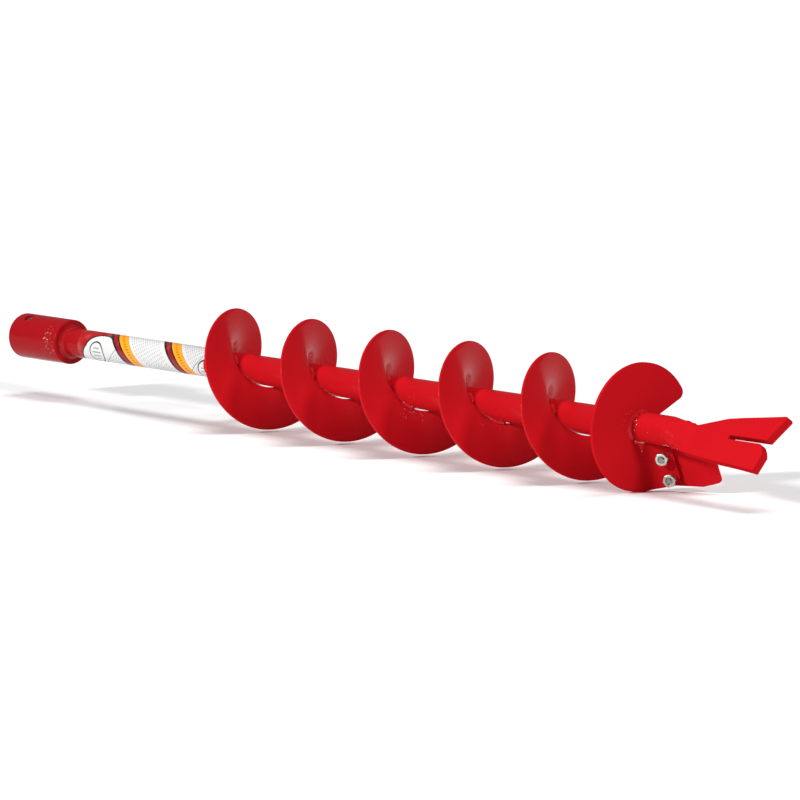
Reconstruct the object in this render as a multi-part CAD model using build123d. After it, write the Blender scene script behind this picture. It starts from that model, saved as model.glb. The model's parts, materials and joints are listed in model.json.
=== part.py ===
from build123d import *
import os
from math import cos, radians, sin, sqrt, tan

# Earth auger bit, lying on its side. Millimetres, +Z up.
# The origin is the centre of the drive socket's mouth, and the axis runs along +X to the point.

# ---------------------------------------------------------------- driving dimensions

# Drive socket: a turned coupling with a blind bore at the front and a seat for the tube behind.
SOCKET_LENGTH = 70.0
SOCKET_RADIUS = 20.1
SOCKET_EDGE = 1.6
BORE_RADIUS = 11.2
BORE_DEPTH = 50.0
TUBE_SEAT_DEPTH = 15.0

# Set screw: a socket screw in a tapped radial hole, backed off clear of the bore.
SCREW_X = 16.8
SCREW_TILT = 25.0
SCREW_RADIUS = 4.7
SCREW_HOLE_RADIUS = 4.75
SCREW_LENGTH = 6.4
SCREW_RECESS = 2.1
SCREW_KEY_FLATS = 4.76
SCREW_KEY_DEPTH = 3.6

# Stem tube and its label.
TUBE_RADIUS = 12.7
TUBE_WALL = 3.0
TUBE_ROUND_END_X = 873.0
LABEL_START_X = 94.0
LABEL_END_X = 276.5
LABEL_THICKNESS = 0.15

# Flights: right-hand helical sections, one turn each, with a part turn at the cutting head.
FLIGHT_RADIUS = 50.8
FLIGHT_GAP = 0.8
FLIGHT_THICKNESS = 2.2
PITCH = 104.5
FLIGHT_DATUM_X = 275.3
START_TURN = -0.056
FULL_SECTIONS = 5
BUTT_WELD_TURN = 0.012
BUTT_WELD_THICKNESS = 3.6

# Stitch welds between the flights and the tube: centre of each, in turns from the datum.
STITCH_TURNS = [0.10, 0.41, 0.92, 1.42, 1.93, 2.35, 2.63, 2.94, 3.44, 3.70, 3.95, 4.43, 4.96, 5.24]
STITCH_LENGTH_TURN = 0.09
STITCH_THICKNESS = 5.6

# Cutting head: a flat disc with a folded tab that holds the blade.
HEAD_X = 834.1
HEAD_THICKNESS = 3.0
HEAD_RADIUS = 52.9
HEAD_HOLE_CLEARANCE = 0.1
FREE_EDGE_OUTER = (49.4, 23.6)
FREE_EDGE_INNER = (11.6, 4.7)
FREE_CORNER_RADIUS = 6.0
FOLD_Y = -7.4
FIRST_FOLD = 25.0
FACET_TOP = -13.9
CREASE_TOP = (7.7, -21.0)
CREASE_BOTTOM = (17.1, -50.9)
TAB_NORMAL_TURN = 60.0
TAB_WIDTH = 26.0
TAB_TOP = [(4.0, 7.5), (13.0, 4.5)]
TAB_OUTER_CORNER = 5.0
TAB_OUTER_TOP = -1.0
TAB_BOTTOM = -31.3
TAB_BOTTOM_OUTER = -32.0

# Blade: flat plate bolted behind the tab, (forward, up) positions measured on the tab from CREASE_TOP.
BLADE_THICKNESS = 4.8
BLADE_BACK = 6.0
BLADE_FRONT = 58.0
BLADE_TOP = 6.0
BLADE_BOTTOM = -38.4
BLADE_BACK_RISE = 9.0
BLADE_BOTTOM_FLAT = 16.0
BLADE_CORNER_RADIUS = 3.0
BLADE_BEVEL = 7.0
BLADE_LAND = 0.8
BOLT_PLACES = [(17.1, -7.1), (18.3, -25.8)]

# Blade fasteners: 6 mm round-head bolts, split lock washers and hexagon nuts.
BOLT_RADIUS = 3.0
BOLT_HOLE_RADIUS = 3.2
BOLT_HEAD_RADIUS = 6.6
BOLT_HEAD_HEIGHT = 3.2
BOLT_HEAD_ROUNDING = 0.9
BOLT_PROUD = 0.3
BOLT_END_CHAMFER = 0.7
WASHER_RADIUS = 4.95
WASHER_THICKNESS = 1.6
WASHER_SPLIT = 0.9
NUT_FLATS = 10.0
NUT_HEIGHT = 4.6
NUT_FACE = 0.96
NUT_CHAMFER = 30.0
THREAD_CLEARANCE = 0.05

# Fishtail point: a slotted plate held in the pinched end of the tube, rolled about the axis.
POINT_ROLL = 35.0
POINT_THICKNESS = 8.0
UPPER_EDGE = [(884.0, 7.5), (903.1, 7.9), (913.0, 11.0), (932.8, 17.1), (950.0, 19.9), (969.6, 22.5)]
UPPER_TIP = [(995.5, 26.2), (996.8, 24.0), (986.0, 3.2)]
SLOT_TOP = 3.0
SLOT_BOTTOM = -0.5
SLOT_START_X = 943.0
LOWER_TIP = [(981.5, -1.2), (985.5, -5.0), (988.5, -9.5), (986.5, -24.4)]
LOWER_EDGE = [(961.5, -22.4), (936.0, -20.9), (915.1, -19.2), (897.0, -17.3), (884.0, -12.5)]

# Pinch: (x, half width, half thickness, offset across the plate) of the flattened end of the tube.
PINCH_SECTIONS = [(886.0, 12.4, 8.8, -1.9), (900.0, 13.2, 5.6, -4.2)]

# Welds.
SOCKET_WELD = 3.0
HEAD_WELD = 2.0
HEAD_WELD_START = 45.0
HEAD_WELD_ARC = 185.0

os.makedirs("parts", exist_ok=True)


# ---------------------------------------------------------------- helpers

def save(node, shape):
    """Writes one node's solids to its own file."""
    export_step(shape, f"parts/{node}.step")


def rod(start_x, end_x, radius):
    """A solid cylinder on the auger's axis."""
    return Pos(start_x, 0, 0) * Rot(0, 90, 0) * Cylinder(
        radius, end_x - start_x, align=(Align.CENTER, Align.CENTER, Align.MIN))


def ring(start_x, end_x, outer_radius, inner_radius):
    """A cylinder on the axis with a round hole through it."""
    return rod(start_x, end_x, outer_radius) - rod(start_x - 1, end_x + 1, inner_radius)


def revolved(profile, start_angle=0.0, arc=360.0):
    """Turns a closed list of (x, radius) points about the auger's axis. Angles run from +Y to +Z."""
    outline = [(x, radius, 0) for x, radius in profile]
    face = make_face(Polyline(*outline, close=True))
    return Rot(start_angle, 0, 0) * revolve(face, axis=Axis.X, revolution_arc=arc)


def helix_strip(start_turn, end_turn, inner_radius, outer_radius, thickness):
    """A stretch of flight: a helicoid between two radii, thickened along the axis."""
    turns = end_turn - start_turn
    edges = [Edge.make_helix(PITCH, turns * PITCH, radius) for radius in (inner_radius, outer_radius)]
    face = Face.make_surface_from_curves(*edges)
    solid = Solid.extrude(face, Vector(0, 0, thickness))
    # The helix climbs along +Z from +X. Turned over, it climbs along +X from +Y through +Z.
    placed = Plane((0, 0, 0), x_dir=(0, 1, 0), z_dir=(1, 0, 0)).location * solid
    start_x = FLIGHT_DATUM_X + start_turn * PITCH
    return Pos(start_x, 0, 0) * Rot(start_turn * 360, 0, 0) * placed


def prism(plane, outline, thickness, offset=0.0):
    """A flat plate: a closed outline on a plane, thickened evenly about that plane plus an offset."""
    face = make_face(plane.offset(offset) * Polyline(*outline, close=True))
    return extrude(face, thickness / 2, both=True)


def fold(start, end, radius):
    """The rounded outside of a fold: a cylinder between two points."""
    run = Vector(*end) - Vector(*start)
    plane = Plane(start, z_dir=run)
    return plane.location * Cylinder(radius, run.length, align=(Align.CENTER, Align.CENTER, Align.MIN))


def grouped(solids):
    """Keeps separate solids in one node."""
    return Compound(children=[solid for item in solids for solid in item.solids()])


# ---------------------------------------------------------------- drive socket and set screw

def screw_plane():
    """Set screw axis: origin on the auger's axis, +Z out through the wall on the -Y side of the top."""
    tilt = radians(SCREW_TILT)
    return Plane((SCREW_X, 0, 0), x_dir=(1, 0, 0), z_dir=(0, -sin(tilt), cos(tilt)))


def screw_solid(radius, height, flats=0.0, key_depth=0.0):
    outer_end = SOCKET_RADIUS - SCREW_RECESS
    body = screw_plane() * Pos(0, 0, outer_end) * Cylinder(
        radius, height, align=(Align.CENTER, Align.CENTER, Align.MAX))
    if key_depth:
        key = RegularPolygon(flats / 2, 6, major_radius=False)
        body = body - screw_plane() * Pos(0, 0, outer_end - key_depth) * extrude(key, key_depth + 1)
    return body


def drive_socket():
    seat_x = SOCKET_LENGTH - TUBE_SEAT_DEPTH
    shape = rod(0, SOCKET_LENGTH, SOCKET_RADIUS)
    shape = fillet(shape.edges().filter_by(GeomType.CIRCLE), SOCKET_EDGE)
    bore = rod(-1, BORE_DEPTH, BORE_RADIUS)
    seat = rod(seat_x, SOCKET_LENGTH + 1, TUBE_RADIUS)
    hole = screw_plane() * Cylinder(
        SCREW_HOLE_RADIUS, SOCKET_RADIUS + 2, align=(Align.CENTER, Align.CENTER, Align.MIN))
    return shape - bore - seat - hole


# ---------------------------------------------------------------- tube, label and point

def point_plane():
    """The point plate's middle plane: X along the auger, Y across the plate, tilted by the roll."""
    roll = radians(POINT_ROLL)
    return Plane((0, 0, 0), x_dir=(1, 0, 0), z_dir=(0, -cos(roll), sin(roll)))


def pinch_section(x, half_width, half_thickness, offset):
    """A cross-section of the tube's end, flattened towards the point plate."""
    roll = radians(POINT_ROLL)
    plane = Plane((x, 0, 0), x_dir=(0, sin(roll), cos(roll)), z_dir=(1, 0, 0))
    return plane * Pos(offset, 0) * Ellipse(half_width, half_thickness)


def stem_tube():
    """A round tube whose far end is pinched down on the point's neck."""
    start_x = SOCKET_LENGTH - TUBE_SEAT_DEPTH
    straight = rod(start_x, TUBE_ROUND_END_X, TUBE_RADIUS)
    sections = [pinch_section(TUBE_ROUND_END_X, TUBE_RADIUS, TUBE_RADIUS, 0)]
    sections += [pinch_section(*values) for values in PINCH_SECTIONS]
    bore = rod(start_x - 1, TUBE_ROUND_END_X - 2, TUBE_RADIUS - TUBE_WALL)
    return straight + loft(sections) - bore - point_plate()


def point_plate():
    """The fishtail: a square-edged plate cut into two prongs by a slot."""
    slot = [(UPPER_TIP[-1][0], SLOT_TOP), (SLOT_START_X, SLOT_TOP), (SLOT_START_X, SLOT_BOTTOM),
            (LOWER_TIP[0][0], SLOT_BOTTOM)]
    return prism(point_plane(), UPPER_EDGE + UPPER_TIP + slot + LOWER_TIP + LOWER_EDGE, POINT_THICKNESS)


# ---------------------------------------------------------------- flights

def flight_end_turn():
    """The flights stop where they meet the back of the cutting head."""
    back_x = HEAD_X - HEAD_THICKNESS / 2
    return (back_x - FLIGHT_THICKNESS - FLIGHT_DATUM_X) / PITCH


def section_bounds():
    """Start and end of each flight section, in turns from the datum."""
    starts = [START_TURN + index for index in range(FULL_SECTIONS + 1)]
    ends = starts[1:] + [flight_end_turn()]
    gap = BUTT_WELD_TURN / 2
    bounds = []
    for index, (start, end) in enumerate(zip(starts, ends)):
        first = start + (gap if index > 0 else 0)
        last = end - (gap if index < FULL_SECTIONS else 0)
        bounds.append((first, last))
    return bounds


def flight_section(start_turn, end_turn):
    return helix_strip(start_turn, end_turn, TUBE_RADIUS + FLIGHT_GAP, FLIGHT_RADIUS, FLIGHT_THICKNESS)


def weld_strip(middle_turn, length_turn, inner_radius, outer_radius, thickness):
    """A weld bead that follows the helix, evenly proud of both faces of the flight."""
    bead = helix_strip(middle_turn - length_turn / 2, middle_turn + length_turn / 2,
                       inner_radius, outer_radius, thickness)
    return Pos((FLIGHT_THICKNESS - thickness) / 2, 0, 0) * bead


def butt_welds():
    inner = TUBE_RADIUS + FLIGHT_GAP
    middles = [START_TURN + index for index in range(1, FULL_SECTIONS + 1)]
    return grouped(weld_strip(turn, BUTT_WELD_TURN, inner, FLIGHT_RADIUS, BUTT_WELD_THICKNESS)
                   for turn in middles)


def stitch_welds():
    outer = TUBE_RADIUS + FLIGHT_GAP
    return grouped(weld_strip(turn, STITCH_LENGTH_TURN, TUBE_RADIUS, outer, STITCH_THICKNESS)
                   for turn in STITCH_TURNS)


# ---------------------------------------------------------------- cutting head, blade and fasteners

def facet_plane():
    """First facet of the tab: folded forward about the upright line y = FOLD_Y on the disc."""
    turn = radians(FIRST_FOLD)
    return Plane((HEAD_X, FOLD_Y, 0), x_dir=(sin(turn), cos(turn), 0), z_dir=(cos(turn), -sin(turn), 0))


def crease_point(place):
    return facet_plane().from_local_coords(Vector(*place, 0))


def tab_plane():
    """The blade's seat: folded forward again about the crease. X points forward, Y up the crease."""
    top = crease_point(CREASE_TOP)
    up = (top - crease_point(CREASE_BOTTOM)).normalized()
    turn = radians(TAB_NORMAL_TURN)
    level = Vector(cos(turn), -sin(turn), 0)
    normal = (level - Vector(0, 0, level.dot(up) / up.Z)).normalized()
    return Plane(top, x_dir=up.cross(normal), z_dir=normal)


def head_disc():
    """The flat part: a round plate cut away between its free edge and the fold."""
    plane = Plane((HEAD_X, 0, 0), x_dir=(0, 1, 0), z_dir=(1, 0, 0))
    disc = plane * Circle(HEAD_RADIUS)
    far = 2 * HEAD_RADIUS
    outer_y, outer_z = FREE_EDGE_OUTER
    inner_y, inner_z = FREE_EDGE_INNER
    slope = (outer_z - inner_z) / (outer_y - inner_y)
    window = [(FOLD_Y, 0), (inner_y, inner_z), (far, inner_z + slope * (far - inner_y)), (far, -far),
              (FOLD_Y, -far)]
    blank = disc - plane * make_face(Polyline(*window, close=True))
    plate = extrude(blank, HEAD_THICKNESS / 2, dir=(1, 0, 0), both=True)
    corners = plate.edges().filter_by(Axis.X).sort_by(Axis.Y)
    plate = fillet(corners[-1], FREE_CORNER_RADIUS)
    return plate - rod(HEAD_X - 5, HEAD_X + 5, TUBE_RADIUS + HEAD_HOLE_CLEARANCE)


def rim_drop(width):
    """How far down the rim of the round blank lies, this far along the first facet."""
    return -sqrt(HEAD_RADIUS ** 2 - (FOLD_Y + width) ** 2)


def cutting_head():
    reach = CREASE_TOP[0]
    depth = CREASE_BOTTOM[0]
    facet_outline = [(0, FACET_TOP), (reach / 2, FACET_TOP), CREASE_TOP, CREASE_BOTTOM,
                     (depth / 2, rim_drop(depth / 2)), (0, rim_drop(0))]
    facet = prism(facet_plane(), facet_outline, HEAD_THICKNESS)
    tab_outline = [(0, 0)] + TAB_TOP + [
        (TAB_WIDTH, TAB_OUTER_TOP), (TAB_WIDTH, TAB_BOTTOM + TAB_OUTER_CORNER),
        (TAB_WIDTH - TAB_OUTER_CORNER, TAB_BOTTOM_OUTER), (0, TAB_BOTTOM)]
    tab = prism(tab_plane(), tab_outline, HEAD_THICKNESS)
    upright = fold((HEAD_X, FOLD_Y, rim_drop(0)), (HEAD_X, FOLD_Y, FACET_TOP), HEAD_THICKNESS / 2)
    crease = fold(crease_point(CREASE_BOTTOM), crease_point(CREASE_TOP), HEAD_THICKNESS / 2)
    head = head_disc() + facet + tab + upright + crease
    return head - bolt_holes() - rod(HEAD_X - 5, TUBE_ROUND_END_X, TUBE_RADIUS + HEAD_HOLE_CLEARANCE)


def blade_offset():
    """The blade's middle lies behind the tab's middle by half of both thicknesses."""
    return -(HEAD_THICKNESS + BLADE_THICKNESS) / 2


def on_tab(shape, place, height):
    """Moves a shape built about +Z to a bolt's axis, at a height above the tab's middle plane."""
    return tab_plane() * Pos(*place, height) * shape


def bolt_holes():
    hole = Cylinder(BOLT_HOLE_RADIUS, 8 * BLADE_THICKNESS)
    return Compound(children=[on_tab(hole, place, 0) for place in BOLT_PLACES])


def cutting_blade():
    """A flat blade with a sharpened front edge and a rounded outer corner."""
    outline = [(BLADE_BACK, BLADE_TOP), (BLADE_FRONT, BLADE_TOP), (BLADE_FRONT, BLADE_BOTTOM),
               (BLADE_FRONT - BLADE_BOTTOM_FLAT, BLADE_BOTTOM), (BLADE_BACK, BLADE_BOTTOM + BLADE_BACK_RISE)]
    plane = tab_plane()
    plate = prism(plane, outline, BLADE_THICKNESS, blade_offset())
    corners = plate.edges().filter_by(Axis(plane.origin, plane.z_dir)).sort_by(
        lambda edge: plane.to_local_coords(edge.center()).X - plane.to_local_coords(edge.center()).Y)
    plate = fillet(corners[-1], BLADE_CORNER_RADIUS)
    front = blade_offset() + BLADE_THICKNESS / 2
    land = front - BLADE_THICKNESS + BLADE_LAND
    below = BLADE_BOTTOM - 5
    side = Plane(plane.from_local_coords(Vector(0, below, 0)), x_dir=plane.x_dir, z_dir=plane.y_dir)
    wedge = make_face(side * Polyline((BLADE_FRONT - BLADE_BEVEL, -front), (BLADE_FRONT + 1, -front),
                                      (BLADE_FRONT + 1, -land), close=True))
    cut = extrude(wedge, BLADE_TOP - below + 5, dir=plane.y_dir)
    return plate - cut - bolt_holes()


def bolt(place):
    """Round-head bolt: head behind the blade, thread end a little proud of the nut."""
    back = blade_offset() - BLADE_THICKNESS / 2
    length = HEAD_THICKNESS / 2 + WASHER_THICKNESS + NUT_HEIGHT + BOLT_PROUD - back
    shank = Cylinder(BOLT_RADIUS, length, align=(Align.CENTER, Align.CENTER, Align.MIN))
    shank = chamfer(shank.edges().sort_by(Axis.Z)[-1], BOLT_END_CHAMFER)
    head = Pos(0, 0, -BOLT_HEAD_HEIGHT) * Cylinder(
        BOLT_HEAD_RADIUS, BOLT_HEAD_HEIGHT, align=(Align.CENTER, Align.CENTER, Align.MIN))
    head = fillet(head.edges().sort_by(Axis.Z)[0], BOLT_HEAD_HEIGHT * BOLT_HEAD_ROUNDING)
    return on_tab(shank + head, place, back)


def washer(place):
    flat = Cylinder(WASHER_RADIUS, WASHER_THICKNESS, align=(Align.CENTER, Align.CENTER, Align.MIN))
    hole = Cylinder(BOLT_HOLE_RADIUS, 3 * WASHER_THICKNESS)
    split = Pos(0, WASHER_RADIUS / 2 + 1, 0) * Box(WASHER_SPLIT, WASHER_RADIUS + 2, 3 * WASHER_THICKNESS)
    return on_tab(flat - hole - split, place, HEAD_THICKNESS / 2)


def nut(place):
    """Hexagon nut whose outer corners are turned down to a cone."""
    blank = extrude(RegularPolygon(NUT_FLATS / 2, 6, major_radius=False), NUT_HEIGHT)
    face = NUT_FLATS / 2 * NUT_FACE
    corner = NUT_FLATS / sqrt(3) + 0.1
    shoulder = NUT_HEIGHT - (corner - face) * tan(radians(NUT_CHAMFER))
    profile = make_face(Polyline((0, 0, 0), (corner, 0, 0), (corner, 0, shoulder), (face, 0, NUT_HEIGHT),
                                 (0, 0, NUT_HEIGHT), close=True))
    hole = Cylinder(BOLT_RADIUS + THREAD_CLEARANCE, 3 * NUT_HEIGHT)
    return on_tab((blank & revolve(profile, axis=Axis.Z)) - hole, place, HEAD_THICKNESS / 2 + WASHER_THICKNESS)


# ---------------------------------------------------------------- welds at the socket, head and point

def weld_profile(face_x, leg):
    """A fillet weld's section between a face at face_x and the tube, a little fuller than flat."""
    return [(face_x, TUBE_RADIUS), (face_x, TUBE_RADIUS + leg),
            (face_x + leg * 0.6, TUBE_RADIUS + leg * 0.6), (face_x + leg, TUBE_RADIUS)]


def socket_weld():
    return revolved(weld_profile(SOCKET_LENGTH, SOCKET_WELD))


def head_weld():
    """Fillet weld in front of the disc, round the side of the tube that the disc covers."""
    return revolved(weld_profile(HEAD_X + HEAD_THICKNESS / 2, HEAD_WELD), HEAD_WELD_START, HEAD_WELD_ARC)


parts = {
    "drive_socket": drive_socket(),
    "set_screw": screw_solid(SCREW_RADIUS, SCREW_LENGTH, SCREW_KEY_FLATS, SCREW_KEY_DEPTH),
    "stem_tube": stem_tube(),
    "stem_label": ring(LABEL_START_X, LABEL_END_X, TUBE_RADIUS + LABEL_THICKNESS, TUBE_RADIUS),
    "socket_weld": socket_weld(),
    "flight_butt_welds": butt_welds(),
    "flight_stitch_welds": stitch_welds(),
    "cutting_head": cutting_head(),
    "head_weld": head_weld(),
    "cutting_blade": cutting_blade(),
    "blade_bolts": grouped(bolt(place) for place in BOLT_PLACES),
    "blade_washers": grouped(washer(place) for place in BOLT_PLACES),
    "blade_nuts": grouped(nut(place) for place in BOLT_PLACES),
    "fishtail_point": point_plate(),
}
for index, (first, last) in enumerate(section_bounds()):
    parts[f"flight_{index + 1}"] = flight_section(first, last)

for node, shape in parts.items():
    save(node, shape)
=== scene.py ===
import json
import math
import random

import bmesh
import bpy
from mathutils import Matrix, Vector, noise


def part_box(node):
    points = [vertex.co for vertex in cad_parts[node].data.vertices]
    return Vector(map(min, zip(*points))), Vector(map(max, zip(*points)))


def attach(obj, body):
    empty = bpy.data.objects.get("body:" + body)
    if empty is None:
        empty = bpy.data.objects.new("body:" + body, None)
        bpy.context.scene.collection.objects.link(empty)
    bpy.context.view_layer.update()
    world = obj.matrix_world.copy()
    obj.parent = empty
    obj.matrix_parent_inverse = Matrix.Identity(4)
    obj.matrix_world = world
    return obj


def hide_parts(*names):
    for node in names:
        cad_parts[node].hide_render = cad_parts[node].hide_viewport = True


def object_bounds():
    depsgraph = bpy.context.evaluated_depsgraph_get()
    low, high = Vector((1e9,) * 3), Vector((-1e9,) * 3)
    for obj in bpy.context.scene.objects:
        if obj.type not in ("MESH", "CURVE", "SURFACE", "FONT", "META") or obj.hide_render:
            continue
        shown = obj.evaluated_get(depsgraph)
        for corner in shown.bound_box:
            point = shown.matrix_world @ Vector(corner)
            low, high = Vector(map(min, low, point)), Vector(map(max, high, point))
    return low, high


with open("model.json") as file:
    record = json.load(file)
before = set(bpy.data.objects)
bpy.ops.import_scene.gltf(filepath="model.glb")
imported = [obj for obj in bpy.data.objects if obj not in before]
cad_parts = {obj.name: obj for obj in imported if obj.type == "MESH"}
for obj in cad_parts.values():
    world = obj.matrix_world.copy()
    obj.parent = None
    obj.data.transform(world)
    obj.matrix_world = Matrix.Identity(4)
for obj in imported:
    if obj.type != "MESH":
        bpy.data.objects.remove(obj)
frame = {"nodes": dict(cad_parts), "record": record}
cad_low, cad_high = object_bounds()

# Earth auger bit: red gloss paint, welds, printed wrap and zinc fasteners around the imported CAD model.
# Lengths are in millimetres unless a comment says metres, and become metres when a mesh is made.
# Turns are whole revolutions about the axis, from +Y towards +Z.
NODES = frame["nodes"]
BODY = "auger"
MM = 0.001

TUBE_RADIUS = 12.7
SOCKET_RADIUS = 20.1
SOCKET_LENGTH = 70.0
FLIGHT_RADIUS = 50.8
FLIGHT_INNER = 13.5
FLIGHT_THICKNESS = 2.2
PITCH = 104.5
DATUM_X = 275.3
START_TURN = -0.056
FULL_SECTIONS = 5
HALF_GAP_TURN = 0.006
STITCH_TURNS = [0.10, 0.41, 0.92, 1.42, 1.93, 2.35, 2.63, 2.94, 3.44, 3.70, 3.95, 4.43, 4.96, 5.24]
STITCH_LENGTH_TURN = 0.09
HEAD_FRONT_X = 835.6
POINT_ROLL = math.radians(35)
POINT_THICKNESS = 8.0
WHOLE_TURN = 0.999

# The camera: its place in metres, its directions and its lens. The floor: half its side, in metres.
CAMERA_PLACE = (4.8652, -3.6149, 0.7098)
CAMERA_FORWARD = (-0.7619, 0.6353, -0.1261)
CAMERA_RIGHT = (0.6404, 0.7681, 0.0)
CAMERA_LENS = 302.4
FLOOR_HALF_SIZE = 60.0


# ---------------------------------------------------------------- camera, floor and light

def link(obj):
    """Puts a new object in the scene."""
    bpy.context.scene.collection.objects.link(obj)
    return obj


def make_camera():
    """A long lens from beyond the point's end, a little above the floor."""
    data = bpy.data.cameras.new("camera")
    data.lens = CAMERA_LENS
    data.sensor_width = 36.0
    data.clip_start = 0.05
    data.clip_end = 200.0
    camera = link(bpy.data.objects.new("camera", data))
    forward = Vector(CAMERA_FORWARD).normalized()
    right = Vector(CAMERA_RIGHT).normalized()
    up = right.cross(forward)
    turn = Matrix((right, up, -forward)).transposed().to_4x4()
    camera.matrix_world = Matrix.Translation(CAMERA_PLACE) @ turn
    bpy.context.scene.camera = camera


def make_floor():
    """A plain white floor that the object stands on."""
    size, z = FLOOR_HALF_SIZE, cad_low.z
    corners = [(-size, -size, z), (size, -size, z), (size, size, z), (-size, size, z)]
    mesh = bpy.data.meshes.new("floor")
    mesh.from_pydata(corners, [], [(0, 1, 2, 3)])
    floor = link(bpy.data.objects.new("floor", mesh))
    material = bpy.data.materials.new("floor_white")
    material.use_nodes = True
    shader = material.node_tree.nodes["Principled BSDF"]
    shader.inputs["Base Color"].default_value = (0.88, 0.88, 0.885, 1)
    shader.inputs["Roughness"].default_value = 0.9
    shader.inputs["Specular IOR Level"].default_value = 0.0
    mesh.materials.append(material)


def make_sun(name, toward, strength, spread, shine=True):
    """A far soft light: toward points from the object to the light, and spread is its width in degrees.
    Without shine it lights surfaces but makes no highlights on them."""
    data = bpy.data.lights.new(name, "SUN")
    data.energy = strength
    data.angle = math.radians(spread)
    light = link(bpy.data.objects.new(name, data))
    light.rotation_mode = "QUATERNION"
    light.rotation_quaternion = Vector(toward).to_track_quat("Z", "Y")
    light.visible_glossy = shine


def make_world(strength):
    """An even white surround."""
    world = bpy.data.worlds.new("studio")
    world.use_nodes = True
    background = world.node_tree.nodes["Background"]
    background.inputs["Color"].default_value = (1, 1, 1, 1)
    background.inputs["Strength"].default_value = strength
    bpy.context.scene.world = world


# ---------------------------------------------------------------- shader helpers

class Shader:
    """A material and short ways to add nodes to it. Textures use object coordinates, in metres."""

    def __init__(self, name):
        self.material = bpy.data.materials.new(name)
        self.material.use_nodes = True
        self.tree = self.material.node_tree
        self.principled = self.tree.nodes["Principled BSDF"]
        self.place = self.add("ShaderNodeTexCoord").outputs["Object"]

    def add(self, kind, **settings):
        node = self.tree.nodes.new(kind)
        for key, value in settings.items():
            setattr(node, key, value)
        return node

    def feed(self, socket, value):
        if isinstance(value, bpy.types.NodeSocket):
            self.tree.links.new(value, socket)
        else:
            socket.default_value = value

    def set(self, **values):
        """Sets or links the shader's own sockets, with spaces in their names written as underscores."""
        for key, value in values.items():
            self.feed(self.principled.inputs[key.replace("_", " ")], value)

    def math(self, operation, *values):
        node = self.add("ShaderNodeMath", operation=operation)
        for socket, value in zip(node.inputs, values):
            self.feed(socket, value)
        return node.outputs[0]

    def noise(self, scale, detail=2.0, stretch=None, offset=0.0):
        place = self.place
        if stretch or offset:
            mapping = self.add("ShaderNodeMapping")
            self.feed(mapping.inputs["Vector"], place)
            mapping.inputs["Scale"].default_value = stretch or (1, 1, 1)
            mapping.inputs["Location"].default_value = (offset, offset, offset)
            place = mapping.outputs[0]
        node = self.add("ShaderNodeTexNoise")
        self.feed(node.inputs["Vector"], place)
        node.inputs["Scale"].default_value = scale
        node.inputs["Detail"].default_value = detail
        return node.outputs[0]

    def spots(self, scale, radius):
        """1 inside small round spots scattered in space, 0 outside."""
        node = self.add("ShaderNodeTexVoronoi")
        self.feed(node.inputs["Vector"], self.place)
        node.inputs["Scale"].default_value = scale
        return self.math("LESS_THAN", node.outputs["Distance"], radius)

    def remap(self, value, low, high, out_low, out_high):
        node = self.add("ShaderNodeMapRange")
        for socket, item in zip(node.inputs, (value, low, high, out_low, out_high)):
            self.feed(socket, item)
        return node.outputs[0]

    def mix(self, share, first, second):
        node = self.add("ShaderNodeMix", data_type="RGBA")
        self.feed(node.inputs[0], share)
        self.feed(node.inputs[6], first)
        self.feed(node.inputs[7], second)
        return node.outputs[2]

    def bumps(self, *layers):
        """Stacks (height, strength, distance in metres) layers and returns the last normal."""
        normal = None
        for height, strength, distance in layers:
            node = self.add("ShaderNodeBump")
            node.inputs["Strength"].default_value = strength
            node.inputs["Distance"].default_value = distance
            self.feed(node.inputs["Height"], height)
            if normal:
                self.feed(node.inputs["Normal"], normal)
            normal = node.outputs[0]
        return normal

    def edges(self, low, high):
        """0 on flat and hollow surfaces, rising to 1 on sharp outer edges."""
        return self.remap(self.add("ShaderNodeNewGeometry").outputs["Pointiness"], low, high, 0.0, 1.0)


DEEP_RED = (0.43, 0.0055, 0.0095, 1)
LIGHT_RED = (0.50, 0.0075, 0.0125, 1)
# Painted shade: the darker red given to the socket end.
SOCKET_SHADE_RED = (0.30, 0.0055, 0.0085, 1)
WORN_RED = (0.70, 0.055, 0.05, 1)
DUST = (0.12, 0.01, 0.012, 1)
# Painted shade: the paint is darkened at the socket end and fades to the flights' red between these places
# along the axis, in metres.
SOCKET_SHADE_FULL_TO, SOCKET_SHADE_GONE_AT = 0.06, 0.30
# How deep the paint's sags, orange peel and blisters are, in metres.
BUMP_SAG, BUMP_PEEL, BUMP_BLISTER = 0.0010, 0.00012, 0.0003


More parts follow.
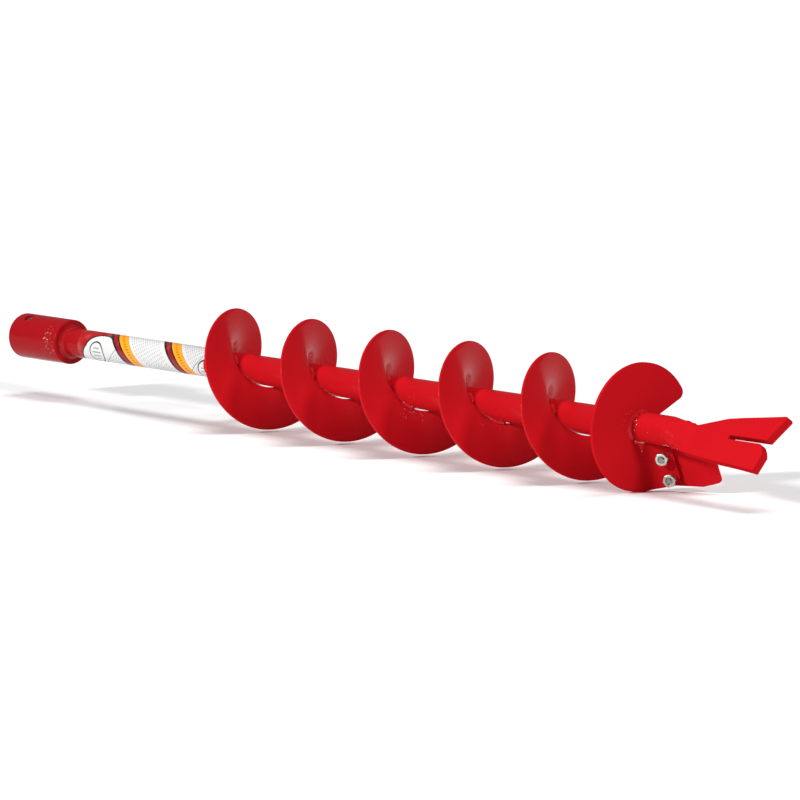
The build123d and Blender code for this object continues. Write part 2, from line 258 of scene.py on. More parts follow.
def paint_material(name, roughness, peel, blister, sheen, wear=0.55, tint=0.5):
    """Gloss paint on steel: uneven tone, painted shade towards the socket end, orange peel, soft sags and
    dust.
    With wear it is thin on sharp edges, which needs a fine mesh: on large triangles the wear would spread."""
    shader = Shader(name)
    colour = shader.mix(shader.noise(16.0, 3.0), DEEP_RED, LIGHT_RED)
    along = shader.add("ShaderNodeSeparateXYZ")
    shader.feed(along.inputs[0], shader.place)
    # Painted shade: the colour darkens towards the socket end, where less light falls.
    socket_shade_fade = shader.remap(along.outputs[0], SOCKET_SHADE_FULL_TO, SOCKET_SHADE_GONE_AT, 0.0, 1.0)
    colour = shader.mix(socket_shade_fade, SOCKET_SHADE_RED, colour)
    if wear:
        patches = shader.remap(shader.noise(240.0, 4.0), 0.42, 0.68, 0.0, wear)
        worn = shader.math("MULTIPLY", shader.edges(0.52, 0.62), patches)
        colour = shader.mix(worn, colour, WORN_RED)
    dust = shader.math("MULTIPLY", shader.spots(260.0, 0.055), 0.35)
    colour = shader.mix(dust, colour, DUST)
    haze = shader.remap(shader.noise(34.0, 5.0, offset=3.0), 0.35, 0.75, roughness * 0.8, roughness * 1.45)
    normal = shader.bumps(
        (shader.noise(30.0, 2.0, offset=7.0), 0.35, BUMP_SAG),
        (shader.noise(620.0, 2.0), peel, BUMP_PEEL),
        (shader.noise(150.0, 3.0, offset=5.0), blister, BUMP_BLISTER),
    )
    shader.set(Base_Color=colour, Roughness=haze, Normal=normal)
    shader.set(Specular_IOR_Level=sheen, Specular_Tint=(1.0, tint, tint, 1))
    return shader.material


ZINC_STAIN = (0.42, 0.40, 0.33, 1)


def zinc_material(name, roughness, dark, light):
    """Bright zinc plate: cloudy colour, fine rolling marks and small stains."""
    shader = Shader(name)
    cloud = shader.noise(420.0, 4.0)
    colour = shader.mix(shader.remap(cloud, 0.35, 0.65, 0.0, 1.0), dark, light)
    stain = shader.remap(shader.noise(900.0, 3.0, offset=2.0), 0.60, 0.75, 0.0, 0.5)
    colour = shader.mix(stain, colour, ZINC_STAIN)
    haze = shader.remap(shader.noise(700.0, 4.0, offset=9.0), 0.3, 0.7, roughness * 0.7, roughness * 1.5)
    marks = shader.noise(1500.0, 2.0, stretch=(1.0, 1.0, 0.15))
    normal = shader.bumps((marks, 0.25, 0.00005), (shader.noise(500.0, 2.0), 0.2, 0.0001))
    shader.set(Base_Color=colour, Roughness=haze, Normal=normal, Metallic=0.95)
    return shader.material


# ---------------------------------------------------------------- label print

LABEL_WHITE = (0.66, 0.66, 0.655, 1)
LABEL_BLACK = (0.012, 0.012, 0.014, 1)
LABEL_RED = (0.30, 0.008, 0.014, 1)
LABEL_FIELD_RED = (0.33, 0.0055, 0.0085, 1)
LABEL_FIELD_LIGHT_RED = (0.38, 0.0065, 0.010, 1)
LABEL_ORANGE = (0.90, 0.34, 0.012, 1)
LABEL_AMBER = (0.50, 0.14, 0.008, 1)
LABEL_GREY = (0.27, 0.31, 0.33, 1)
LABEL_GRIME = (0.40, 0.37, 0.33, 1)
PRINT_HEIGHT = 0.15
# Degrees about the axis: where the wrap starts, where the bands begin to curve, and where the dashes turn.
LABEL_SEAM, CURVE_TURN, DASH_TURN = -20.0, 160.0, 205.0

# The two swept bands: lean per degree, curve, first start, spacing, and where their stripes and the
# small marks on the orange one end.
BAND_SLOPE = 0.25
BAND_CURVE = 0.0010
BAND_START = 146.7
BAND_PITCH = 76.0
BLACK_END, RED_END, SECOND_BLACK_END, ORANGE_END, RULE_END = 3.4, 8.9, 11.3, 24.0, 24.8
MARKS_START, MARKS_END, MARKS_PITCH = 15.6, 19.6, 2.3

# Rows of dashes: row spacing, share of it inked, dash spacing, share of it inked.
STEEP_DASHES = (3.2, 0.26, 2.9, 0.62)
FLAT_DASHES = (2.4, 0.26, 4.3, 0.72)
STEEP_FROM, STEEP_TO = 28.0, 71.0
FLAT_FROM, FLAT_TO = 33.0, 72.0
FLAT_LEAN = 0.75
ROW_SHIFT = 0.37

# The rounded panel, as (where its curve begins, how far it reaches) on each side. PANEL_OUTLINE is where
# its black outline ends, as a share of that reach.
PANEL_LEFT, PANEL_RIGHT, PANEL_TOP = (128.0, 22.0), (131.0, 17.4), (44.9, 17.4)
PANEL_SHOULDER = 30.0
PANEL_LEAN_FROM, PANEL_LEAN = 38.8, 0.55
PANEL_OUTLINE = 1.085
PANEL_END = BAND_START + 1.0

# Slanting rules as (lean, place, half width), and where the small rows start beyond the near one.
NEAR_RULE = (0.81, 160.6, 0.32)
FAR_RULE = (0.87, 272.6, 0.30)
FAR_RULE_FROM, FAR_RULE_TO = 250.0, 277.0
SMALL_ROWS_FROM = 162.5

# Plain rings with short bars in them.
RINGS = ((121.8, 45.0), (277.5, 47.5))
RING_HALF_SIZE = (9.6, 10.6)
RING_INNER, RING_OUTER, BARS_EDGE = 0.93, 1.06, 0.62
BARS_PITCH, BARS_SHARE = 3.6, 0.34


def label_material(name):
    """Printed wrap: two swept bands, a rounded panel with a plain ring, and rows of plain grey dashes."""
    shader = Shader(name)

    def plus(first, second):
        return shader.math("ADD", first, second)

    def minus(first, second):
        return shader.math("SUBTRACT", first, second)

    def times(first, second):
        return shader.math("MULTIPLY", first, second)

    def over(first, second):
        return shader.math("DIVIDE", first, second)

    def less(first, second):
        return shader.math("LESS_THAN", first, second)

    def more(first, second):
        return shader.math("GREATER_THAN", first, second)

    def between(value, low, high):
        return times(more(value, low), less(value, high))

    def repeat(value, pitch):
        return shader.math("FRACT", over(value, pitch))

    def below(value, limit):
        """How far value is under limit, as a negative number, and 0 above it."""
        return shader.math("MINIMUM", minus(value, limit), 0.0)

    def above(value, limit):
        return shader.math("MAXIMUM", minus(value, limit), 0.0)

    split = shader.add("ShaderNodeSeparateXYZ")
    shader.feed(split.inputs[0], shader.place)
    x = times(split.outputs[0], 1000.0)
    turn = shader.math("DEGREES", shader.math("ARCTAN2", split.outputs[2], split.outputs[1]))
    turn = shader.math("WRAP", turn, LABEL_SEAM + 360.0, LABEL_SEAM)
    across = times(turn, math.radians(TUBE_RADIUS + PRINT_HEIGHT))
    past = minus(turn, CURVE_TURN)
    under = above(turn, CURVE_TURN)
    lead = minus(times(past, BAND_SLOPE), times(times(under, under), BAND_CURVE))
    sweep = minus(x, lead)
    band = shader.math("WRAP", minus(sweep, BAND_START), BAND_PITCH, 0.0)
    banded = more(sweep, BAND_START)
    before = less(sweep, PANEL_END)

    def ellipse(centre_x, centre_across, half_x, half_across):
        wide = over(shader.math("ABSOLUTE", minus(x, centre_x)), half_x)
        high = over(shader.math("ABSOLUTE", minus(across, centre_across)), half_across)
        return shader.math("SQRT", plus(shader.math("POWER", wide, 2.0), shader.math("POWER", high, 2.0)))

    def dashes(row, spacing, width, dash, share):
        """Rows of short dashes: row counts across the rows, and the dashes run round the tube."""
        number = shader.math("FLOOR", over(row, spacing))
        shifted = plus(over(across, dash), times(number, ROW_SHIFT))
        return times(less(repeat(row, spacing), width), less(shader.math("FRACT", shifted), share))

    def slanted(lean):
        return plus(across, times(x, lean))

    def rule(lean, place, half_width):
        return less(shader.math("ABSOLUTE", minus(slanted(lean), place)), half_width)

    steep = times(between(band, STEEP_FROM, STEEP_TO), less(turn, DASH_TURN))
    steep = times(dashes(sweep, *STEEP_DASHES), steep)
    flat_row = plus(x, times(across, FLAT_LEAN))
    flat = times(between(band, FLAT_FROM, FLAT_TO), more(turn, DASH_TURN))
    flat = times(dashes(flat_row, *FLAT_DASHES), flat)
    colour = shader.mix(times(shader.math("MAXIMUM", steep, flat), banded), LABEL_WHITE, LABEL_GREY)

    # The rounded panel at the socket end. Its shape is a distance that is 1 on its edge.
    leaning = plus(x, times(above(across, PANEL_LEAN_FROM), PANEL_LEAN))
    left = over(below(leaning, PANEL_LEFT[0]), PANEL_LEFT[1])
    right = over(above(x, PANEL_RIGHT[0]), PANEL_RIGHT[1])
    right = times(right, less(across, PANEL_SHOULDER))
    top = over(below(across, PANEL_TOP[0]), PANEL_TOP[1])
    panel = shader.math("SQRT", plus(plus(times(left, left), times(right, right)), times(top, top)))

    small_rows = times(dashes(flat_row, *FLAT_DASHES), more(slanted(NEAR_RULE[0]), SMALL_ROWS_FROM))
    colour = shader.mix(times(small_rows, before), colour, LABEL_GREY)
    colour = shader.mix(times(rule(*NEAR_RULE), before), colour, LABEL_BLACK)
    colour = shader.mix(times(rule(*FAR_RULE), between(x, FAR_RULE_FROM, FAR_RULE_TO)), colour, LABEL_BLACK)
    for centre_x, centre_across in RINGS:
        oval = ellipse(centre_x, centre_across, *RING_HALF_SIZE)
        colour = shader.mix(between(oval, 0.0, RING_OUTER), colour, LABEL_WHITE)
        colour = shader.mix(between(oval, RING_INNER, RING_OUTER), colour, LABEL_BLACK)
        bars = times(less(repeat(across, BARS_PITCH), BARS_SHARE), between(oval, 0.0, BARS_EDGE))
        colour = shader.mix(bars, colour, LABEL_GREY)

    # Black outline and then red all round the panel.
    red = shader.mix(shader.noise(16.0, 3.0), LABEL_FIELD_RED, LABEL_FIELD_LIGHT_RED)
    colour = shader.mix(times(more(panel, 1.0), before), colour, LABEL_BLACK)
    colour = shader.mix(times(more(panel, PANEL_OUTLINE), before), colour, red)

    # The two swept bands.
    def stripe(colour, low, high, ink):
        return shader.mix(times(between(band, low, high), banded), colour, ink)

    colour = stripe(colour, 0.0, BLACK_END, LABEL_BLACK)
    colour = stripe(colour, BLACK_END, RED_END, LABEL_RED)
    colour = stripe(colour, RED_END, SECOND_BLACK_END, LABEL_BLACK)
    colour = stripe(colour, SECOND_BLACK_END, ORANGE_END, LABEL_ORANGE)
    marks = times(between(band, MARKS_START, MARKS_END), less(repeat(across, MARKS_PITCH), 0.5))
    colour = shader.mix(times(marks, banded), colour, LABEL_AMBER)
    colour = stripe(colour, ORANGE_END, RULE_END, LABEL_AMBER)

    grime = shader.remap(shader.noise(90.0, 5.0), 0.5, 0.8, 0.0, 0.16)
    colour = shader.mix(grime, colour, LABEL_GRIME)
    haze = shader.remap(shader.noise(70.0, 4.0, offset=4.0), 0.3, 0.7, 0.20, 0.38)
    normal = shader.bumps(
        (shader.noise(55.0, 3.0, offset=1.0), 0.35, 0.0006),
        (shader.noise(900.0, 2.0), 0.10, 0.00006),
    )
    shader.set(Base_Color=colour, Roughness=haze, Normal=normal, Specular_IOR_Level=0.2)
    return shader.material


# ---------------------------------------------------------------- mesh helpers

def add_piece(name, verts, faces, slot, *nodes, sharp=40.0, finish=None, body=BODY):
    """Makes a mesh from millimetre points, rides it on a body and lets it stand for CAD nodes.
    finish names another of the materials than the slot's own."""
    mesh = bpy.data.meshes.new(name)
    mesh.from_pydata([Vector(point) * MM for point in verts], [], faces)
    shape = bmesh.new()
    shape.from_mesh(mesh)
    bmesh.ops.recalc_face_normals(shape, faces=shape.faces)
    shape.to_mesh(mesh)
    shape.free()
    mesh.shade_smooth()
    mesh.set_sharp_from_angle(angle=math.radians(sharp))
    mesh.materials.append(MATERIALS[finish or slot])
    piece = link(bpy.data.objects.new(name, mesh))
    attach(piece, body)
    if nodes:
        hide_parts(*nodes)


def loft(rings, caps=True, closed=False):
    """Quads between rings of points. closed joins the last ring to the first."""
    count = len(rings[0])
    verts = [point for ring in rings for point in ring]
    faces = []
    spans = len(rings) if closed else len(rings) - 1
    for i in range(spans):
        base, after = i * count, (i + 1) % len(rings) * count
        for j in range(count):
            k = (j + 1) % count
            faces.append((base + j, base + k, after + k, after + j))
    if caps and not closed:
        faces.append(tuple(range(count)))
        faces.append(tuple(range((len(rings) - 1) * count, len(rings) * count)))
    return verts, faces


def joined(parts):
    """Puts several (verts, faces) meshes into one."""
    verts, faces = [], []
    for some_verts, some_faces in parts:
        start = len(verts)
        verts += some_verts
        faces += [tuple(start + index for index in face) for face in some_faces]
    return verts, faces


def around(x, radius, turn):
    """A point at a distance from the axis."""
    angle = 2 * math.pi * turn
    return Vector((x, radius * math.cos(angle), radius * math.sin(angle)))


def wobble(a, b, c, seed=0.0):
    """Smooth repeatable noise from -1 to 1."""
    return noise.noise(Vector((a + seed * 17.3, b - seed * 9.1, c + seed * 4.7)))


# ---------------------------------------------------------------- flights

RIM_ROUND = 0.85
INNER_SLOPE, INNER_BREAK = 0.3, 0.35
FLIGHT_WAVE, RIM_WEAR = 0.40, 0.25
# How far a section's end is bent from its neighbour's, and over how much of a turn that fades.
END_BEND, END_BEND_TURN = 0.35, 0.03
STEPS_PER_TURN = 150


def flight_profile():
    """Section of a flight as (radius, axial) points: flat faces, rolled outer rim and broken inner edge."""
    inner, outer, thick = FLIGHT_INNER, FLIGHT_RADIUS, FLIGHT_THICKNESS
    steps = 9
    rim, slope = RIM_ROUND, INNER_SLOPE
    back = [(inner + slope + (outer - rim - inner - slope) * i / steps, 0.0) for i in range(steps + 1)]
    corner_low = [(outer - rim + rim * math.sin(a), rim - rim * math.cos(a)) for a in (0.5, 1.0, 1.45)]
    corner_high = [(radius, thick - axial) for radius, axial in reversed(corner_low)]
    front = [(radius, thick) for radius, _ in reversed(back)]
    inside = [(inner, thick - INNER_BREAK), (inner, INNER_BREAK)]
    return back + corner_low + corner_high + front + inside


def flight(index, first, last):
    """One pressed section: a helicoid with slight waves, and ends that don't quite line up with the next."""
    profile = flight_profile()
    steps = max(24, int((last - first) * STEPS_PER_TURN))
    rings = []
    for i in range(steps + 1):
        turn = first + (last - first) * i / steps
        from_end = min(turn - first, last - turn)
        way = 1 if turn - first < last - turn else -1
        bend = END_BEND * math.exp(-(from_end / END_BEND_TURN) ** 2) * way
        ring = []
        for radius, axial in profile:
            share = (radius - FLIGHT_INNER) / (FLIGHT_RADIUS - FLIGHT_INNER)
            wave = FLIGHT_WAVE * share * wobble(turn * 5.0, share * 1.5, 0.0, index)
            shrink = RIM_WEAR * share * (1 + wobble(turn * 9.0, 3.0, 0.0, index))
            x = DATUM_X + turn * PITCH + axial + wave + bend * share
            ring.append(around(x, radius - shrink, turn))
        rings.append(ring)
    verts, faces = loft(rings)
    add_piece(f"flight_spiral_{index}", verts, faces, "red_paint", f"flight_{index}")


def flight_bounds():
    """First and last turn of each flight section, less half a gap where sections meet."""
    end_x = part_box(f"flight_{FULL_SECTIONS + 1}")[1].x / MM - FLIGHT_THICKNESS
    starts = [START_TURN + i for i in range(FULL_SECTIONS + 1)]
    ends = starts[1:] + [(end_x - DATUM_X) / PITCH + HALF_GAP_TURN]
    return [(start + (HALF_GAP_TURN if i else 0.0), end - HALF_GAP_TURN)
            for i, (start, end) in enumerate(zip(starts, ends))]


# ---------------------------------------------------------------- welds

def weld_piece(name, shapes, *nodes, finish="weld_paint"):
    """Several beads as one piece, in the thicker paint that welds carry."""
    verts, faces = joined(shapes)
    add_piece(name, verts, faces, "red_paint", *nodes, sharp=75, finish=finish)


def bead(path, across, upward, width, height, ripple, seed, taper=0.12, points=12):
    """A weld bead: oval rings along a path, rippled where each puddle froze, and drawn in at its ends."""
    rings = []
    count = len(path)
    travelled = 0.0
    for i, centre in enumerate(path):
        if i:
            travelled += (centre - path[i - 1]).length
        end = min(i, count - 1 - i) / max(1.0, (count - 1) * taper)
        size = math.sin(min(1.0, end) * math.pi / 2) * 0.92 + 0.08
        crest = abs(math.sin(math.pi * travelled / ripple))
        size *= 0.93 + 0.10 * crest
        wander = 0.16 * wobble(travelled * 0.23, 5.0, 0.0, seed)
        side, up = across[i], upward[i]
        ring = []
        for j in range(points):
            angle = 2 * math.pi * j / points
            lumpy = 1 + 0.07 * wobble(travelled * 0.8, math.cos(angle) * 2, math.sin(angle) * 2, seed)
            ring.append(centre + side * (math.cos(angle) * width * size * lumpy + wander)
                        + up * (math.sin(angle) * height * size * lumpy))
        rings.append(ring)
    return loft(rings)


def helix_direction(turn, radius):
    """The way along the flight at a distance from the axis."""
    angle = 2 * math.pi * turn
    girth = 2 * math.pi * radius
    return Vector((PITCH, -girth * math.sin(angle), girth * math.cos(angle))).normalized()


def stitch_weld(turn, seed):
    """A short run along the flight's root."""
    steps = 30
    first = turn - STITCH_LENGTH_TURN / 2
    path, across, upward = [], [], []
    for i in range(steps + 1):
        here = first + STITCH_LENGTH_TURN * i / steps
        radius = TUBE_RADIUS + 0.5
        centre = around(DATUM_X + here * PITCH + FLIGHT_THICKNESS / 2, radius, here)
        along = helix_direction(here, radius)
        outward = around(0, 1, here)
        path.append(centre)
        across.append(along.cross(outward).normalized())
        upward.append(outward)
    return bead(path, across, upward, width=3.0, height=2.1, ripple=2.3, seed=seed)


def butt_weld(turn, seed):
    """A radial run that joins two flight sections, proud of both faces."""
    steps = 34
    path, across, upward = [], [], []
    for i in range(steps + 1):
        radius = FLIGHT_INNER - 0.5 + (FLIGHT_RADIUS - FLIGHT_INNER - 0.6) * i / steps
        path.append(around(DATUM_X + turn * PITCH + FLIGHT_THICKNESS / 2, radius, turn))
        along = helix_direction(turn, radius)
        across.append(along)
        upward.append(along.cross(around(0, 1, turn)).normalized())
    return bead(path, across, upward, width=2.1, height=1.75, ripple=2.0, seed=seed, taper=0.06)


# The ring welds' section as (along the tube, up the face), in leg lengths. It is sunk into both.
RING_SECTION = [(-0.3, 1.05), (0.12, 0.92), (0.26, 0.56), (0.55, 0.27), (0.92, 0.10), (1.05, -0.12),
                (-0.3, -0.12)]


def ring_weld(x, leg, first_turn, last_turn, ripple, seed):
    """A hollow-faced run in the corner between the tube and a face at x."""
    whole = last_turn - first_turn > WHOLE_TURN
    steps = int((last_turn - first_turn) * STEPS_PER_TURN)
    rings = []
    for i in range(steps + (0 if whole else 1)):
        here = first_turn + (last_turn - first_turn) * i / steps
        travelled = 2 * math.pi * (TUBE_RADIUS + leg / 2) * here
        end = 1.0 if whole else min(1.0, min(i, steps - i) / 6)
        crest = abs(math.sin(math.pi * travelled / ripple))
        size = leg * (0.88 + 0.07 * crest + 0.05 * wobble(here * 9, 2.0, 0.0, seed))
        size *= 0.25 + 0.75 * end
        rings.append([around(x + size * out, TUBE_RADIUS + size * up, here) for out, up in RING_SECTION])
    return loft(rings, closed=whole)


# A drop's levels as (height, spread) in radii. The first is sunk in the surface.
DROP_LEVELS = ((-0.3, 1.0), (0.15, 0.92), (0.38, 0.62), (0.5, 0.28))


def drop(centre, outward, radius, seed):
    """One bead of weld spatter: a low uneven dome."""
    side = outward.orthogonal().normalized()
    other = outward.cross(side)
    segments = 8
    rings = []
    for height, spread in DROP_LEVELS:
        ring = []
        for j in range(segments):
            angle = 2 * math.pi * j / segments
            uneven = 1 + 0.18 * wobble(math.cos(angle), math.sin(angle), height, seed)
            away = side * math.cos(angle) + other * math.sin(angle)
            ring.append(centre + away * radius * spread * uneven + outward * radius * height)
        rings.append(ring)
    return loft(rings)


def spatter():
    """Drops thrown on the socket, the tube and the flights near the hand welds."""
    rng = random.Random(41)
    drops = []

    def throw(centre, outward, sizes):
        drops.append(drop(centre, outward, rng.uniform(*sizes), len(drops)))

    def on_cylinder(count, x, spread_x, turn, spread_turn, radius, sizes):
        for _ in range(count):
            here = rng.gauss(turn, spread_turn)
            place_x = rng.gauss(x, spread_x)
            throw(around(place_x, radius, here), around(0, 1, here), sizes)

    def on_flight(count, turn, spread_turn, near, far, sizes):
        for _ in range(count):
            here = rng.gauss(turn, spread_turn)
            radius = rng.uniform(near, far)
            outward = -helix_direction(here, radius).cross(around(0, 1, here)).normalized()
            outward = outward if outward.x > 0 else -outward
            throw(around(DATUM_X + here * PITCH + FLIGHT_THICKNESS, radius, here), outward, sizes)

    def on_disc(count, turn, spread_turn, near, far, sizes):
        for _ in range(count):
            here = rng.gauss(turn, spread_turn)
            radius = rng.uniform(near, far)
            throw(around(HEAD_FRONT_X, radius, here), Vector((1, 0, 0)), sizes)

    # Each call: how many, where, how far they scatter, and the smallest and largest radius.
    on_cylinder(36, 59.5, 4.5, 0.475, 0.05, SOCKET_RADIUS, (0.45, 1.2))
    on_cylinder(6, 79.0, 5.0, 0.45, 0.06, TUBE_RADIUS, (0.3, 0.6))
    on_cylinder(14, 839.5, 2.2, 0.42, 0.05, TUBE_RADIUS, (0.6, 1.5))
    on_cylinder(3, 856.0, 3.0, 0.46, 0.03, TUBE_RADIUS, (0.5, 0.8))
    on_disc(8, 0.42, 0.05, 15.5, 21.0, (0.3, 0.7))
    on_flight(18, 2.66, 0.035, 15.5, 24.0, (0.35, 0.9))
    on_cylinder(10, 566.0, 7.0, 0.44, 0.05, TUBE_RADIUS, (0.35, 0.8))
    on_cylinder(14, 602.0, 6.0, 0.44, 0.05, TUBE_RADIUS, (0.5, 1.25))
    on_flight(8, 3.62, 0.04, 15.5, 22.0, (0.35, 0.8))
    weld_piece("weld_spatter", drops, finish="spatter_paint")


# ---------------------------------------------------------------- tube, point and label

ACROSS_POINT = Vector((0, math.sin(POINT_ROLL), math.cos(POINT_ROLL)))
OFF_POINT = Vector((0, -math.cos(POINT_ROLL), math.sin(POINT_ROLL)))
# Station: x, half width, half thickness, offset across, squareness of the section.
PINCH = [
    (868.0, 12.7, 12.7, 0.0, 2.0),
    (873.0, 12.75, 12.3, -0.1, 2.0),
    (886.0, 12.5, 8.6, -1.9, 2.3),
    (894.0, 12.9, 6.2, -3.2, 2.6),
    (899.5, 13.0, 4.7, -4.1, 3.2),
    (903.0, 12.9, 4.2, -4.25, 3.6),
    (904.5, 12.5, 3.7, -4.3, 3.6),
]
ROUND_END, PINCH_END = PINCH[0][0], PINCH[-1][0]
ROUND_STATIONS = 40
PINCH_STEP = 0.7
TUBE_SEGMENTS = 128
# Dent: x, angle, size along x, size in angle, height. Angles run from across the plate to its near face.
DENTS = (
    (879.0, 0.95, 3.2, 0.30, -1.1), (884.5, 0.70, 2.6, 0.28, 0.8), (890.0, 0.42, 3.0, 0.30, 0.9),
    (876.0, 1.35, 2.4, 0.35, -0.7), (887.0, 1.55, 4.0, 0.40, -0.6), (896.0, 0.25, 2.5, 0.25, 0.8),
)
# The point plate's outline as (x, across), from its neck round the prongs and back.
POINT_UPPER = [(884.0, 7.5), (903.1, 7.9), (913.0, 11.0), (932.8, 17.1), (950.0, 19.9), (969.6, 22.5)]
POINT_TIP = [(995.5, 26.2), (996.8, 24.0), (986.0, 3.2)]
POINT_SLOT = [(943.0, 3.0), (943.0, -0.5)]
POINT_LOWER = [(981.0, -0.6), (985.5, -5.0), (988.5, -9.5), (986.5, -24.4), (961.5, -22.4), (936.0, -20.9),
               (915.1, -19.2), (897.0, -17.3), (884.0, -12.5)]
POINT_EDGE = 0.55


def pinch_at(x):
    """The tube's section at x, between the stations above."""
    if x <= PINCH[0][0]:
        return PINCH[0][1:]
    for before, after in zip(PINCH, PINCH[1:]):
        if x <= after[0]:
            share = (x - before[0]) / (after[0] - before[0])
            return [a + (b - a) * share for a, b in zip(before[1:], after[1:])]
    return PINCH[-1][1:]


def dents(x, angle):
    """How far the tube's wall is pushed in or out where the press and the torch worked it."""
    worked = max(0.0, min(1.0, (x - 870.0) / 8.0))
    depth = 0.35 * wobble(x * 0.16, math.cos(angle) * 1.6, math.sin(angle) * 1.6, 3)
    depth += 0.16 * wobble(x * 0.5, math.cos(angle) * 4, math.sin(angle) * 4, 5)
    for place_x, place_angle, size_x, size_angle, amount in DENTS:
        depth += amount * math.exp(-((x - place_x) / size_x) ** 2 - ((angle - place_angle) / size_angle) ** 2)
    return depth * worked


def tube():
    """The stem, round as far as the head and then pressed flat on the point's neck."""
    start_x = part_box("stem_tube")[0].x / MM
    stations = [start_x + (ROUND_END - start_x) * i / ROUND_STATIONS for i in range(ROUND_STATIONS + 1)]
    x = ROUND_END
    while x < PINCH_END - 0.01:
        x += PINCH_STEP
        stations.append(min(x, PINCH_END))
    rings = []
    for x in stations:
        width, thickness, offset, square = pinch_at(x)
        ring = []
        for j in range(TUBE_SEGMENTS):
            angle = 2 * math.pi * j / TUBE_SEGMENTS
            cosine, sine = math.cos(angle), math.sin(angle)
            power = 2.0 / square
            u = math.copysign(abs(cosine) ** power, cosine) * width
            v = math.copysign(abs(sine) ** power, sine) * thickness
            signed = angle if angle <= math.pi else angle - 2 * math.pi
            push = dents(x, signed)
            direction = (ACROSS_POINT * u + OFF_POINT * v).normalized()
            ring.append(Vector((x, 0, 0)) + ACROSS_POINT * (u + offset) + OFF_POINT * v + direction * push)
        rings.append(ring)
    verts, faces = loft(rings)
    add_piece("stem_pipe", verts, faces, "red_paint", "stem_tube", sharp=60)


def bevelled_plate(outline, thickness, edge):
    """A plate in the (x, across) plane of the point, with softly ground edges."""
    shape = bmesh.new()
    middle = [Vector((x, 0, 0)) + ACROSS_POINT * across for x, across in outline]
    lower = [shape.verts.new(place - OFF_POINT * thickness / 2) for place in middle]
    upper = [shape.verts.new(place + OFF_POINT * thickness / 2) for place in middle]
    shape.faces.new(lower)
    shape.faces.new(upper)
    count = len(outline)
    for i in range(count):
        j = (i + 1) % count
        shape.faces.new((lower[i], lower[j], upper[j], upper[i]))
    bmesh.ops.recalc_face_normals(shape, faces=shape.faces)
    bmesh.ops.bevel(shape, geom=list(shape.edges), offset=edge, segments=3, profile=0.6, affect="EDGES")
    verts = [vertex.co.copy() for vertex in shape.verts]
    shape.verts.index_update()
    faces = [tuple(vertex.index for vertex in face.verts) for face in shape.faces]
    shape.free()
    return verts, faces


def point():
    """The forked plate at the end."""
    outline = POINT_UPPER + POINT_TIP + POINT_SLOT + POINT_LOWER
    verts, faces = bevelled_plate(outline, POINT_THICKNESS, POINT_EDGE)
    add_piece("fishtail_plate", verts, faces, "red_paint", "fishtail_point", sharp=34, finish="plate_paint")


def label():
    """A printed wrap with its last few degrees lapped over its start."""
    low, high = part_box("stem_label")
    start_x, end_x = low.x / MM, high.x / MM
    columns = 64
    steps = 150
    lap = 12.0
    gap, sheet = 0.04, 0.10
    rings = []
    for i in range(steps + 1):
        turn = LABEL_SEAM + (360.0 + lap) * i / steps
        angle = math.radians(turn)
        rise = max(0.0, min(1.0, (turn - LABEL_SEAM - 352.0) / 8.0))
        base = TUBE_RADIUS + gap + sheet * rise * rise * (3 - 2 * rise)
        ring = []
        for side in (0, 1):
            for j in range(columns + 1):
                share = j / columns if side == 0 else 1 - j / columns
                x = start_x + (end_x - start_x) * share
                bubble = 0.0
                if side:
                    rough = wobble(x * 0.11, math.cos(angle) * 1.5, math.sin(angle) * 1.5, 8)
                    bubble = 0.035 * max(0.0, rough)
                ring.append(around(x, base + sheet * side + bubble, turn / 360.0))
        rings.append(ring)
    verts, faces = loft(rings)
    add_piece("label_wrap", verts, faces, "printed_label", "stem_label", sharp=50)


# ---------------------------------------------------------------- CAD nodes that stay

def soften(node, width):
    """Breaks a CAD node's sharp edges without touching its own mesh."""
    obj = NODES[node]
    weld = obj.modifiers.new("join", "WELD")
    weld.merge_threshold = 0.000002
    flat = obj.modifiers.new("flat", "DECIMATE")
    flat.decimate_type = "DISSOLVE"
    flat.angle_limit = math.radians(0.6)
    bevel = obj.modifiers.new("edges", "BEVEL")
    bevel.limit_method = "ANGLE"
    bevel.angle_limit = math.radians(40.0)
    bevel.width = width * MM
    bevel.segments = 2


# ---------------------------------------------------------------- making

make_camera()
make_floor()
make_world(0.17)
make_sun("key", toward=(-0.16, -0.88, 0.46), strength=2.8, spread=8)
make_sun("overhead", toward=(0.05, 0.15, 1.0), strength=1.5, spread=26, shine=False)
make_sun("far_side", toward=(0.92, -0.12, 0.45), strength=1.5, spread=8, shine=False)
bpy.context.scene.view_settings.view_transform = "Standard"

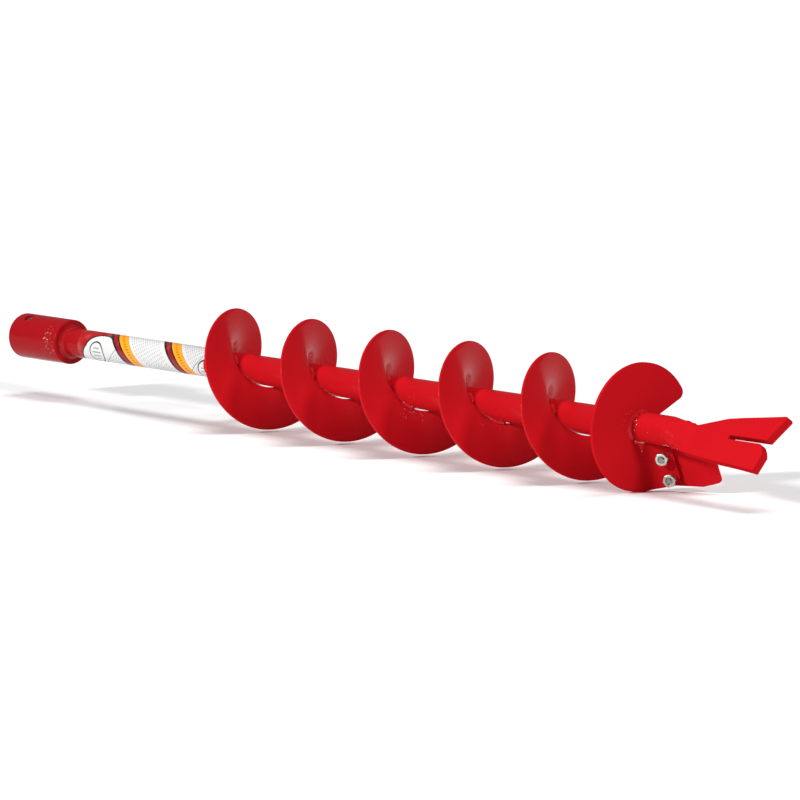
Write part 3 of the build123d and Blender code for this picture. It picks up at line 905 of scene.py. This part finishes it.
# The head, the blade, the point and the socket have large triangles, so their paint has no wear.
MATERIALS = {
    "red_paint": paint_material("red_gloss_paint", roughness=0.16, peel=0.14, blister=0.04, sheen=0.06),
    "plate_paint": paint_material(
        "red_paint_on_plates", roughness=0.20, peel=0.06, blister=0.02, sheen=0.0, wear=0.0),
    "turned_paint": paint_material(
        "red_paint_on_socket", roughness=0.16, peel=0.14, blister=0.04, sheen=0.06, wear=0.0),
    "weld_paint": paint_material("red_paint_on_welds", roughness=0.12, peel=0.2, blister=0.35, sheen=0.40),
    "spatter_paint": paint_material(
        "red_paint_on_spatter", roughness=0.08, peel=0.05, blister=0.05, sheen=1.0, tint=1.0),
    "zinc_steel": zinc_material(
        "zinc_plate", roughness=0.30, dark=(0.40, 0.41, 0.38, 1), light=(0.68, 0.68, 0.64, 1)),
    # A darker zinc than the nuts', used on the bolts' ends.
    "darker_zinc": zinc_material(
        "zinc_thread_end", roughness=0.24, dark=(0.13, 0.14, 0.12, 1), light=(0.42, 0.43, 0.38, 1)),
    "printed_label": label_material("label_print"),
}
# CAD nodes with another finish than their slot's own.
NODE_FINISH = {
    "blade_bolts": "darker_zinc",
    "cutting_blade": "plate_paint",
    "cutting_head": "plate_paint",
    "drive_socket": "turned_paint",
}
for part in frame["record"]["subparts"]:
    mesh = NODES[part["node"]].data
    mesh.materials.clear()
    mesh.materials.append(MATERIALS[NODE_FINISH.get(part["node"], part["material_slot"])])

for number, (first, last) in enumerate(flight_bounds(), 1):
    flight(number, first, last)
stitches = [stitch_weld(turn, i) for i, turn in enumerate(STITCH_TURNS)]
weld_piece("flight_root_welds", stitches, "flight_stitch_welds")
seams = [butt_weld(START_TURN + i, 30 + i) for i in range(1, FULL_SECTIONS + 1)]
weld_piece("flight_seam_welds", seams, "flight_butt_welds")
socket_ring = ring_weld(SOCKET_LENGTH, leg=3.0, first_turn=0.0, last_turn=1.0, ripple=2.4, seed=50)
weld_piece("socket_ring_weld", [socket_ring], "socket_weld")
head_ring = ring_weld(HEAD_FRONT_X, leg=2.0, first_turn=0.125, last_turn=0.64, ripple=2.0, seed=51)
weld_piece("head_ring_weld", [head_ring], "head_weld")
tube()
point()
label()
spatter()
for node, width in (("cutting_head", 0.5), ("cutting_blade", 0.35), ("blade_nuts", 0.25), ("set_screw", 0.2)):
    soften(node, width)
